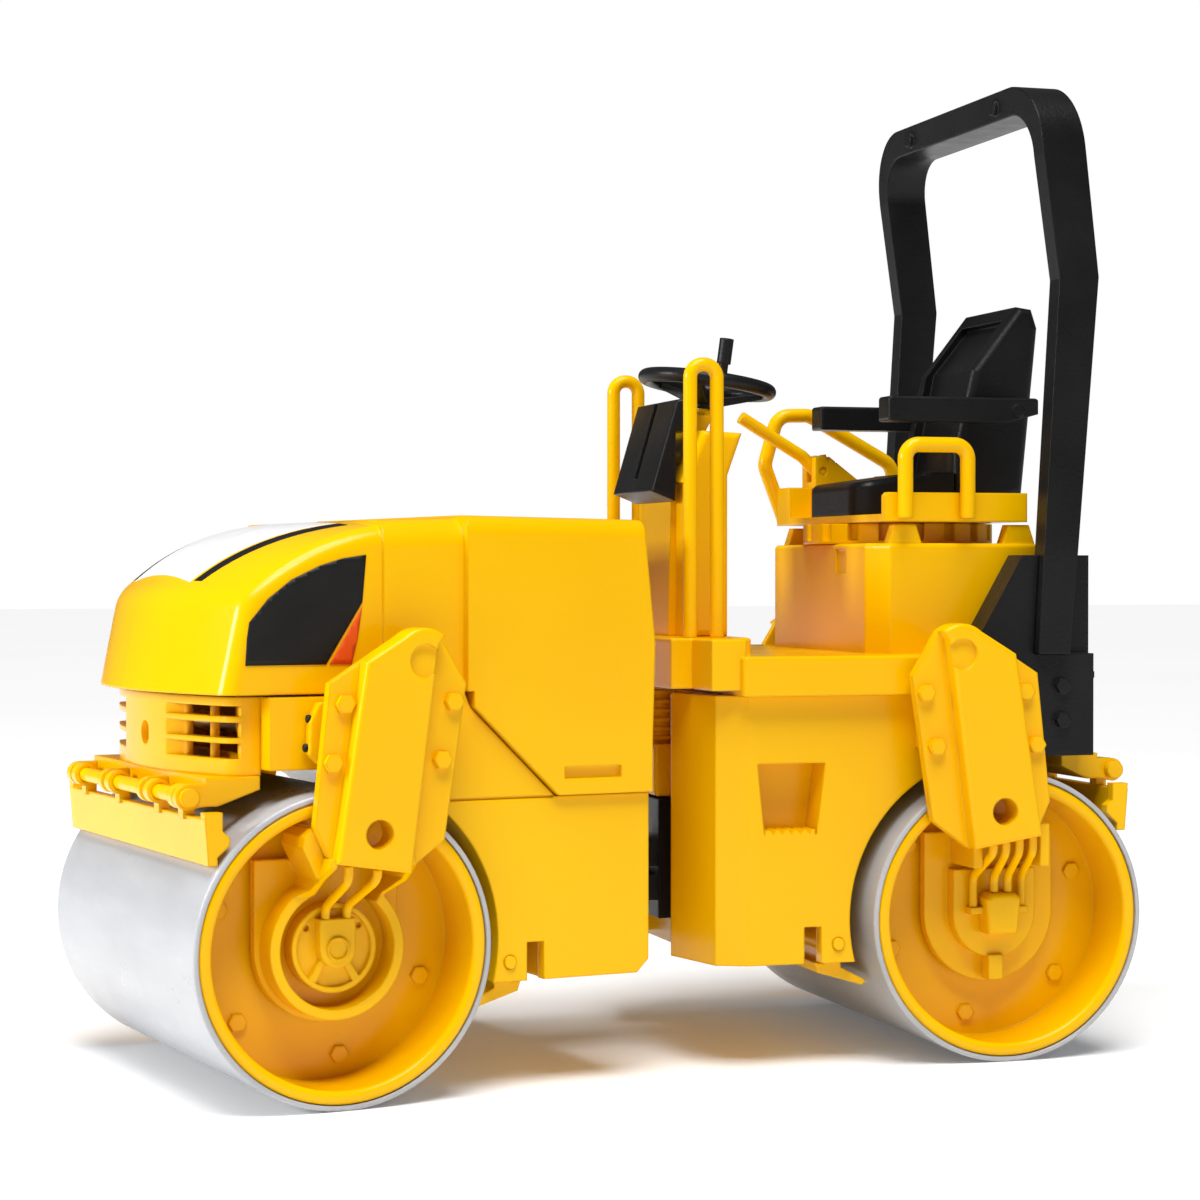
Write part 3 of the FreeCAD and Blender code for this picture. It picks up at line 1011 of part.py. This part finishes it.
rear_panel = new_body("rear_panel_body")
pad(rear_panel, "top", "panel_low_z", "panel_top_z", [
    ("-panel_back_x", "-panel_half"), ("-rear_cut_x - 0.1", "-panel_half"),
    ("-rear_cut_x - 0.1", "-panel_inner"), ("-rear_end_x - 0.1", "-panel_inner"),
    ("-rear_end_x - 0.1", "panel_inner"), ("-rear_cut_x - 0.1", "panel_inner"),
    ("-rear_cut_x - 0.1", "panel_half"), ("-panel_back_x", "panel_half")])
cut(rear_panel, "side", "-panel_half", "panel_half", [
    ("-rear_cut_x", "deck_top_z + 2"), ("-69.2", "panel_top_z"), ("-rear_cut_x", "panel_top_z")])
both_sides(cut, rear_panel, "side", "hoop_inner", "panel_half", [
    ("-71.3", "hoop_low_z"), ("-72.35", "panel_top_z"), ("-panel_back_x", "panel_top_z"),
    ("-panel_back_x", "hoop_low_z")])
cut(rear_panel, "side", "-panel_half", "panel_half",
    box_outline("-rear_cut_x - 6.5", "panel_low_z", "-rear_cut_x", "panel_low_z + 2.2"))
pad(rear_panel, "top", "69.4", "panel_top_z - 1.4",
    box_outline("-panel_back_x - 3.6", "-27", "-panel_back_x", "27"))
round_edges(rear_panel, "2.6", lambda e: e.CenterOfMass.x < number("-panel_back_x - 1")
            and e.BoundBox.XLength < 4 and e.CenterOfMass.z > 69.6)
pad(rear_panel, "top", "68.2", "69.4",
    box_outline("-panel_back_x - 4.2", "-28.5", "-panel_back_x", "28.5"))
pad(rear_panel, "top", "panel_low_z", "68.2",
    box_outline("-panel_back_x - 2", "-27", "-panel_back_x", "27"))
panel_heads = []
for z in ("67.2", "61"):
    for level in ("panel_half", "-panel_half - bolt_tall"):
        panel_heads.append(hexagon("panel_head", "1.5", "bolt_tall", ("-76.8", level, z), "y"))
keep("rear_panel", fuse("rear_panel_all", [rear_panel] + panel_heads), "rear")

# ---------------------------------------------------------------- check, then write the pieces
doc.recompute()
failed = [i.Name for i in doc.Objects if "Invalid" in i.State or "Error" in i.State]
for node, feature in parts:
    if feature.Shape.isNull() or not feature.Shape.isValid() or not feature.Shape.Solids:
        failed.append(node)
if failed:
    raise RuntimeError("failed: " + ", ".join(failed))
os.makedirs("parts", exist_ok=True)
for node, feature in parts:
    feature.Shape.exportStep("parts/%s.step" % node)
print("%d nodes written" % len(parts))
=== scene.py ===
"""A yellow toy road roller on a pale studio floor."""
import json
import math

import bmesh
import bpy
from mathutils import Euler, Matrix, Vector
from mathutils.bvhtree import BVHTree


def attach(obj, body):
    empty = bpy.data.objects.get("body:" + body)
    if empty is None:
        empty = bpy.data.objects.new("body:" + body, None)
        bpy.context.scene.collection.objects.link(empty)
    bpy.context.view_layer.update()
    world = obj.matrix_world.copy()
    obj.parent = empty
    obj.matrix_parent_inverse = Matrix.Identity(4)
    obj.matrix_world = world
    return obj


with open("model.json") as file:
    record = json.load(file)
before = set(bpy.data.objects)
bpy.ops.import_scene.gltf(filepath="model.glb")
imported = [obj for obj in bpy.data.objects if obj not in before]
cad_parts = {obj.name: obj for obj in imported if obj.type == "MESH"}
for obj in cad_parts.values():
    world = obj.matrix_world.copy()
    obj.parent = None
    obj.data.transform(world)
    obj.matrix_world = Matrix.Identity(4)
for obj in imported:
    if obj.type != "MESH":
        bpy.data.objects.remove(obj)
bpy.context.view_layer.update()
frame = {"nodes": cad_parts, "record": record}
MM = 0.001
DOWN = Vector((0, 0, -1))

# The steering pin's foot, and the angle by which the front half is turned at rest. Straight
# ahead is the middle of the steering joint's range.
joints = {joint["name"]: joint for joint in frame["record"]["behaviour"]["joints"]}
STEERING = joints["articulated_steering"]
PIN_AT = Vector((*STEERING["pos_m"][:2], 0))
STEER = -math.radians(sum(STEERING["range_deg"]) / 2)
AHEAD = Matrix.Rotation(STEER, 3, "Z")

# ---------------------------------------------------------------- camera
# The camera stands in front of the machine and to its left, nearly level.
LENS_MM = 82.83
SENSOR_MM = 36
CAMERA_DIP, CAMERA_YAW = 0.604, 16.553
CAMERA_AT = PIN_AT + Vector((145.58, 491.57, 87.95)) * MM
CAMERA_TURN = Euler((math.radians(90 - CAMERA_DIP), 0, math.radians(180 - CAMERA_YAW)))

lens = bpy.data.cameras.new("camera")
lens.lens = LENS_MM
lens.sensor_width = SENSOR_MM
camera = bpy.data.objects.new("camera", lens)
camera.location = CAMERA_AT
camera.rotation_euler = CAMERA_TURN
bpy.context.collection.objects.link(camera)
bpy.context.scene.camera = camera


# ---------------------------------------------------------------- materials
def new_material(name):
    """A node material: itself, its nodes and links, and its main shader."""
    material = bpy.data.materials.new(name)
    material.use_nodes = True
    nodes, links = material.node_tree.nodes, material.node_tree.links
    return material, nodes, links, nodes["Principled BSDF"]


def add(nodes, kind, **settings):
    """A new node, with each setting put on the input of that name or else on the node."""
    node = nodes.new(kind)
    for key, value in settings.items():
        if key in node.inputs:
            node.inputs[key].default_value = value
        else:
            setattr(node, key, value)
    return node


def noise(nodes, links, scale, detail=3.0, roughness=0.5, stretch=(1, 1, 1)):
    """Noise in the object's own metres, so that its grain has a real size."""
    place = nodes.new("ShaderNodeTexCoord")
    mapping = nodes.new("ShaderNodeMapping")
    mapping.inputs["Scale"].default_value = stretch
    links.new(place.outputs["Object"], mapping.inputs["Vector"])
    texture = nodes.new("ShaderNodeTexNoise")
    texture.inputs["Scale"].default_value = scale
    texture.inputs["Detail"].default_value = detail
    texture.inputs["Roughness"].default_value = roughness
    links.new(mapping.outputs["Vector"], texture.inputs["Vector"])
    return texture.outputs["Fac"]


def ramp(nodes, links, value, stops):
    """A colour ramp from a value; each stop is (position, colour)."""
    node = nodes.new("ShaderNodeValToRGB")
    elements = node.color_ramp.elements
    while len(elements) < len(stops):
        elements.new(0.5)
    for element, (position, colour) in zip(elements, stops):
        element.position = position
        element.color = (*colour, 1)
    links.new(value, node.inputs["Fac"])
    return node.outputs["Color"]


def grey(value):
    """The same level in red, green and blue."""
    return (value, value, value)


def rounded_bump(nodes, links, shader, height, strength, distance, edge):
    """Fine surface relief over softly rounded edges; distance and edge are in millimetres."""
    bevel = add(nodes, "ShaderNodeBevel", samples=6, Radius=edge * MM)
    bump = add(nodes, "ShaderNodeBump", Strength=strength, Distance=distance * MM)
    links.new(height, bump.inputs["Height"])
    links.new(bevel.outputs["Normal"], bump.inputs["Normal"])
    links.new(bump.outputs["Normal"], shader.inputs["Normal"])


def yellow_plastic():
    """Glossy moulded plastic, a little cloudy in tone."""
    material, nodes, links, shader = new_material("yellow_plastic")
    cloud = noise(nodes, links, 18, 2)
    colour = ramp(nodes, links, cloud, [(0.3, (0.89, 0.47, 0.000)), (0.7, (0.94, 0.53, 0.000))])
    links.new(colour, shader.inputs["Base Color"])
    gloss = ramp(nodes, links, noise(nodes, links, 60, 5, 0.7),
                 [(0.3, grey(0.15)), (0.7, grey(0.23))])
    links.new(gloss, shader.inputs["Roughness"])
    shader.inputs["Specular IOR Level"].default_value = 0.18
    shader.inputs["Coat Weight"].default_value = 0.02
    shader.inputs["Coat Roughness"].default_value = 0.1
    rounded_bump(nodes, links, shader, noise(nodes, links, 900, 4, 0.6),
                 strength=0.06, distance=0.2, edge=0.6)
    return material


def black_plastic():
    """Satin black plastic with a fine grain."""
    material, nodes, links, shader = new_material("black_plastic")
    colour = ramp(nodes, links, noise(nodes, links, 40, 3),
                  [(0.3, grey(0.006)), (0.7, (0.012, 0.012, 0.013))])
    links.new(colour, shader.inputs["Base Color"])
    gloss = ramp(nodes, links, noise(nodes, links, 120, 5, 0.7),
                 [(0.35, grey(0.30)), (0.75, grey(0.42))])
    links.new(gloss, shader.inputs["Roughness"])
    shader.inputs["Specular IOR Level"].default_value = 0.2
    rounded_bump(nodes, links, shader, noise(nodes, links, 1500, 3, 0.6),
                 strength=0.25, distance=0.2, edge=0.5)
    return material


def grey_plastic():
    """The drums' grey skin, streaked around them."""
    material, nodes, links, shader = new_material("grey_plastic")
    streaks = noise(nodes, links, 90, 5, 0.6, (1, 0.08, 1))
    colour = ramp(nodes, links, streaks, [(0.3, (0.40, 0.41, 0.43)), (0.7, (0.50, 0.51, 0.53))])
    links.new(colour, shader.inputs["Base Color"])
    gloss = ramp(nodes, links, noise(nodes, links, 70, 5, 0.7),
                 [(0.3, grey(0.26)), (0.8, grey(0.40))])
    links.new(gloss, shader.inputs["Roughness"])
    rounded_bump(nodes, links, shader, noise(nodes, links, 1200, 3),
                 strength=0.12, distance=0.2, edge=0.5)
    return material


def steel():
    """Turned steel with fine tool lines."""
    material, nodes, links, shader = new_material("steel")
    lines = noise(nodes, links, 700, 4, 0.6, (1, 0.05, 1))
    colour = ramp(nodes, links, lines, [(0.3, grey(0.45)), (0.7, grey(0.6))])
    links.new(colour, shader.inputs["Base Color"])
    shader.inputs["Metallic"].default_value = 1
    shader.inputs["Roughness"].default_value = 0.3
    rounded_bump(nodes, links, shader, lines, strength=0.1, distance=0.1, edge=0.3)
    return material


FINISH = {"yellow_plastic": yellow_plastic(), "black_plastic": black_plastic(),
          "grey_plastic": grey_plastic(), "steel": steel()}

for entry in frame["record"]["subparts"]:
    piece = frame["nodes"][entry["node"]]
    piece.data.materials.clear()
    piece.data.materials.append(FINISH[entry["material_slot"]])

# ---------------------------------------------------------------- stickers on the hood
FILM = 0.08 * MM
# In millimetres on the straight front half: the films' grid, and levels clear of the hood.
FILM_STEP = 1.0
ABOVE_HOOD, BESIDE_HOOD = 130, 60


def ahead(x, y, z):
    """A point of the straight front half, in millimetres, at its place on the machine."""
    return AHEAD @ (Vector((x, y, z)) * MM) + PIN_AT


def sticker_film(name, dark, light, roughness):
    """A printed film whose colour and gloss vary slightly."""
    material, nodes, links, shader = new_material(name)
    colour = ramp(nodes, links, noise(nodes, links, 150, 4), [(0.3, dark), (0.7, light)])
    links.new(colour, shader.inputs["Base Color"])
    gloss = ramp(nodes, links, noise(nodes, links, 500, 3),
                 [(0.3, grey(roughness)), (0.7, grey(roughness + 0.08))])
    links.new(gloss, shader.inputs["Roughness"])
    shader.inputs["Specular IOR Level"].default_value = 0.2
    return material


def sticker(name, outline, start, travel, film):
    """A film cut to an outline and laid on the hood: start(a, b) is a point off the surface,
    and the film drops from there along travel. Cuts every FILM_STEP let it follow the curve."""
    work = bmesh.new()
    work.faces.new([work.verts.new((a, b, 0)) for a, b in outline])
    for axis in range(2):
        low, high = (pick(corner[axis] for corner in outline) for pick in (min, max))
        level = low + FILM_STEP
        while level < high:
            place, normal = [0, 0, 0], [0, 0, 0]
            place[axis], normal[axis] = level, 1
            bmesh.ops.bisect_plane(work, geom=work.verts[:] + work.edges[:] + work.faces[:],
                                   plane_co=place, plane_no=normal)
            level += FILM_STEP
    for vert in work.verts:
        hit, _, _, _ = hood_tree.ray_cast(start(vert.co.x, vert.co.y), travel)
        if hit is None:
            raise RuntimeError("the film misses the hood: " + name)
        vert.co = hit - travel * FILM
    bmesh.ops.triangulate(work, faces=work.faces[:])
    mesh = bpy.data.meshes.new(name)
    work.to_mesh(mesh)
    work.free()
    for face in mesh.polygons:
        face.use_smooth = True
    piece = bpy.data.objects.new(name, mesh)
    bpy.context.collection.objects.link(piece)
    solid = piece.modifiers.new("thickness", "SOLIDIFY")
    solid.thickness = FILM
    solid.offset = -1
    mesh.materials.append(film)
    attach(piece, "hood")
    return piece


hood_mesh = frame["nodes"]["hood"].data
hood_tree = BVHTree.FromPolygons([v.co for v in hood_mesh.vertices],
                                 [tuple(p.vertices) for p in hood_mesh.polygons])
black_film = sticker_film("black_film", grey(0.008), grey(0.012), 0.42)
orange_film = sticker_film("orange_film", (0.75, 0.085, 0.008), (0.82, 0.11, 0.012), 0.4)
white_film = sticker_film("white_film", grey(0.72), grey(0.80), 0.3)

# Outlines in millimetres on the straight front half: (x, z) on the side, (x, y) on the top.
SIDE_PANEL = [(59.9, 90.6), (60.6, 82.8), (67.0, 72.6), (80.9, 72.6), (80.6, 77.0), (80.2, 79.6),
              (77.0, 83.4), (73.0, 86.5), (68.0, 88.8), (64.0, 90.0)]
SIDE_STRIPE = [(60.65, 82.0), (61.4, 77.0), (62.5, 72.6), (66.4, 72.6)]
TOP_PANEL = [(60, -21), (84, -15), (84, 15), (60, 21)]
TOP_BAND = [(60, 22), (83.5, 16), (83.0, 18.5), (60, 26)]
for side, word in ((1, "left"), (-1, "right")):
    start = (lambda a, b, side=side: ahead(a, side * BESIDE_HOOD, b))
    travel = (AHEAD @ Vector((0, -side, 0))).normalized()
    sticker("side_panel_" + word, SIDE_PANEL[::side], start, travel, black_film)
    sticker("side_stripe_" + word, SIDE_STRIPE[::side], start, travel, orange_film)
    band = [(a, side * b) for a, b in TOP_BAND][::side]
    sticker("top_band_" + word, band, lambda a, b: ahead(a, b, ABOVE_HOOD), DOWN, black_film)
sticker("top_panel", TOP_PANEL, lambda a, b: ahead(a, b, ABOVE_HOOD), DOWN, white_film)


# ---------------------------------------------------------------- service plates by the arms
def plate(name, outline, low, high, place, material, body):
    """An outline pushed between two levels, with softened edges; place(a, b, level) is where."""
    work = bmesh.new()
    rings = [[work.verts.new(place(a, b, level)) for a, b in outline] for level in (low, high)]
    work.faces.new(rings[0])
    work.faces.new(rings[1][::-1])
    for i in range(len(outline)):
        j = (i + 1) % len(outline)
        work.faces.new((rings[0][j], rings[0][i], rings[1][i], rings[1][j]))
    bmesh.ops.recalc_face_normals(work, faces=work.faces[:])
    mesh = bpy.data.meshes.new(name)
    work.to_mesh(mesh)
    work.free()
    mesh.materials.append(material)
    piece = bpy.data.objects.new(name, mesh)
    bpy.context.collection.objects.link(piece)
    soft = piece.modifiers.new("soft_edges", "BEVEL")
    soft.width, soft.segments = 0.3 * MM, 2
    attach(piece, body)
    return piece


def hexagon_outline(a, b, corner):
    """A hexagon about (a, b), given by its corner radius."""
    turns = [math.radians(60 * i) for i in range(6)]
    return [(a + corner * math.cos(turn), b + corner * math.sin(turn)) for turn in turns]


# Millimetres on the straight front half: the plate's (x, z) outline and its y levels, and its
# screws' (x, z) feet, y and size.
SERVICE_PLATE = [(65, 56.4), (69.4, 56.4), (71.2, 58.2), (71.0, 63.4), (69.4, 66.6), (65, 66.6)]
PLATE_FOOT, PLATE_FACE = 35.05, 37.4
SCREW_FEET = ((70.4, 63.9), (70.9, 59.2))
SCREW_Y, SCREW_CORNER, SCREW_TALL = 36.2, 0.8, 0.9
for side, word in ((1, "left"), (-1, "right")):
    plate("service_plate_" + word, SERVICE_PLATE, PLATE_FOOT, PLATE_FACE,
          lambda a, b, level, side=side: ahead(a, side * level, b),
          FINISH["yellow_plastic"], "front_frame")
    for count, (x, z) in enumerate(SCREW_FEET, start=1):
        plate("service_screw_%s_%d" % (word, count),
              hexagon_outline(SCREW_Y, z, SCREW_CORNER), x, x + SCREW_TALL,
              lambda a, b, level, side=side: ahead(level, side * a, b),
              FINISH["black_plastic"], "front_frame")

# ---------------------------------------------------------------- floor and light
# The floor reaches this far each way, in metres, and glows a little to stay white.
REACH = 6.0
FLOOR_GLOW = 0.08
ROOM_LIGHT, BACKDROP_LIGHT = 0.10, 1.0
MACHINE_MIDDLE = (0, 0, 0.07)

mesh = bpy.data.meshes.new("floor")
mesh.from_pydata([(-REACH, -REACH, 0), (REACH, -REACH, 0), (REACH, REACH, 0), (-REACH, REACH, 0)],
                 [], [(0, 1, 2, 3)])
floor = bpy.data.objects.new("floor", mesh)
bpy.context.collection.objects.link(floor)
floor_material, nodes, links, shader = new_material("floor_paper")
tone = ramp(nodes, links, noise(nodes, links, 3, 3), [(0.3, grey(0.93)), (0.7, grey(0.95))])
links.new(tone, shader.inputs["Base Color"])
shader.inputs["Roughness"].default_value = 0.7
shader.inputs["Emission Color"].default_value = (1, 1, 1, 1)
shader.inputs["Emission Strength"].default_value = FLOOR_GLOW
floor.data.materials.append(floor_material)

# The room lights the machine dimly from all round, and shows as plain white behind it.
world = bpy.data.worlds.new("studio")
bpy.context.scene.world = world
world.use_nodes = True
tree = world.node_tree
room = tree.nodes["Background"]
room.inputs["Color"].default_value = (1, 1, 1, 1)
room.inputs["Strength"].default_value = ROOM_LIGHT
paper = tree.nodes.new("ShaderNodeBackground")
paper.inputs["Color"].default_value = (1, 1, 1, 1)
paper.inputs["Strength"].default_value = BACKDROP_LIGHT
rays = tree.nodes.new("ShaderNodeLightPath")
mix = tree.nodes.new("ShaderNodeMixShader")
tree.links.new(rays.outputs["Is Camera Ray"], mix.inputs["Fac"])
tree.links.new(room.outputs["Background"], mix.inputs[1])
tree.links.new(paper.outputs["Background"], mix.inputs[2])
tree.links.new(mix.outputs["Shader"], tree.nodes["World Output"].inputs["Surface"])


def soft_light(name, place, size, power):
    """A rectangular lamp at a place, facing the machine."""
    lamp = bpy.data.lights.new(name, "AREA")
    lamp.shape = "RECTANGLE"
    lamp.size, lamp.size_y = size
    lamp.energy = power
    holder = bpy.data.objects.new(name, lamp)
    holder.location = Vector(place)
    aim = Vector(MACHINE_MIDDLE) - Vector(place)
    holder.rotation_euler = aim.to_track_quat("-Z", "Y").to_euler()
    bpy.context.collection.objects.link(holder)


def soft_sun(name, direction, strength, spread):
    """Parallel light along a direction, softened over a spread in degrees."""
    lamp = bpy.data.lights.new(name, "SUN")
    lamp.energy = strength
    lamp.angle = math.radians(spread)
    holder = bpy.data.objects.new(name, lamp)
    holder.rotation_euler = Vector(direction).to_track_quat("-Z", "Y").to_euler()
    bpy.context.collection.objects.link(holder)


soft_sun("daylight", (-0.05, -0.36, -1.00), 3.0, 35)
soft_light("key", (0.85, 0.02, 0.32), (0.2, 0.2), 4.8)
soft_light("strip", (0.25, 0.45, 0.75), (0.5, 0.06), 1.7)
bpy.context.scene.view_settings.view_transform = "Standard"
